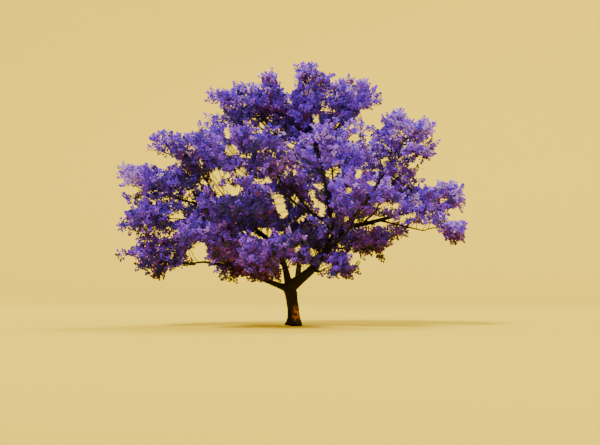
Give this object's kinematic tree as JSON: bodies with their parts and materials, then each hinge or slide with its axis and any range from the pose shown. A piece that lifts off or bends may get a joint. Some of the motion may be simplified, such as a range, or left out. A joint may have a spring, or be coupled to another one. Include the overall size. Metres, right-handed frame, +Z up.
{
  "type": "jacaranda tree",
  "caption": "Spreading jacaranda tree in full blue-violet bloom: a short leaning trunk, forked tapering boughs and a mass of blossom on each bough.",
  "frame": {"origin": "middle of the flat cut under the trunk, at ground level", "axes": "+Z up; the front, which shows the fork's low limb on the left, looks along -Y; +X to the right, along the crown's widest reach"},
  "size_m": [13.9542, 11.5858, 10.5732],
  "materials": {
    "bark": "rough, fissured dark brown bark",
    "blossom": "matt blue-violet flowers in loose sprays",
    "leaf": "matt olive leaflets, a few among the flowers"
  },
  "bodies": {
    "root": {"trunk": "bark", "bough_back_left": "bark", "bough_back_left_high": "bark", "bough_back_low": "bark", "bough_back_right": "bark", "bough_back_right_high": "bark", "bough_front_left": "bark", "bough_front_left_high": "bark", "bough_front_low": "bark", "bough_front_right": "bark", "bough_front_right_high": "bark", "bough_inner_left": "bark", "bough_leader": "bark", "bough_left_arm": "bark", "bough_left_low": "bark", "bough_left_low_back": "bark", "bough_left_low_front": "bark", "bough_left_mid": "bark", "bough_left_shoulder": "bark", "bough_low_centre": "bark", "bough_right_low": "bark", "bough_right_low_tuft": "bark", "bough_right_mid": "bark", "bough_right_shoulder": "bark", "bough_right_tip": "bark", "bough_right_tip_low": "bark", "bough_top_back": "bark", "bough_top_left": "bark", "bough_top_right": "bark", "bough_upper_left": "bark", "mass_back_left": "blossom", "mass_back_left_high": "blossom", "mass_back_low": "blossom", "mass_back_right": "blossom", "mass_back_right_high": "blossom", "mass_front_left": "blossom", "mass_front_left_high": "blossom", "mass_front_low": "blossom", "mass_front_right": "blossom", "mass_front_right_high": "blossom", "mass_inner_left": "blossom", "mass_leader": "blossom", "mass_left_arm": "blossom", "mass_left_low": "blossom", "mass_left_low_back": "blossom", "mass_left_low_front": "blossom", "mass_left_mid": "blossom", "mass_left_shoulder": "blossom", "mass_low_centre": "blossom", "mass_right_low": "blossom", "mass_right_low_tuft": "blossom", "mass_right_mid": "blossom", "mass_right_shoulder": "blossom", "mass_right_tip": "blossom", "mass_right_tip_low": "blossom", "mass_top_back": "blossom", "mass_top_left": "blossom", "mass_top_right": "blossom", "mass_upper_left": "blossom"}
  },
  "joints": []
}
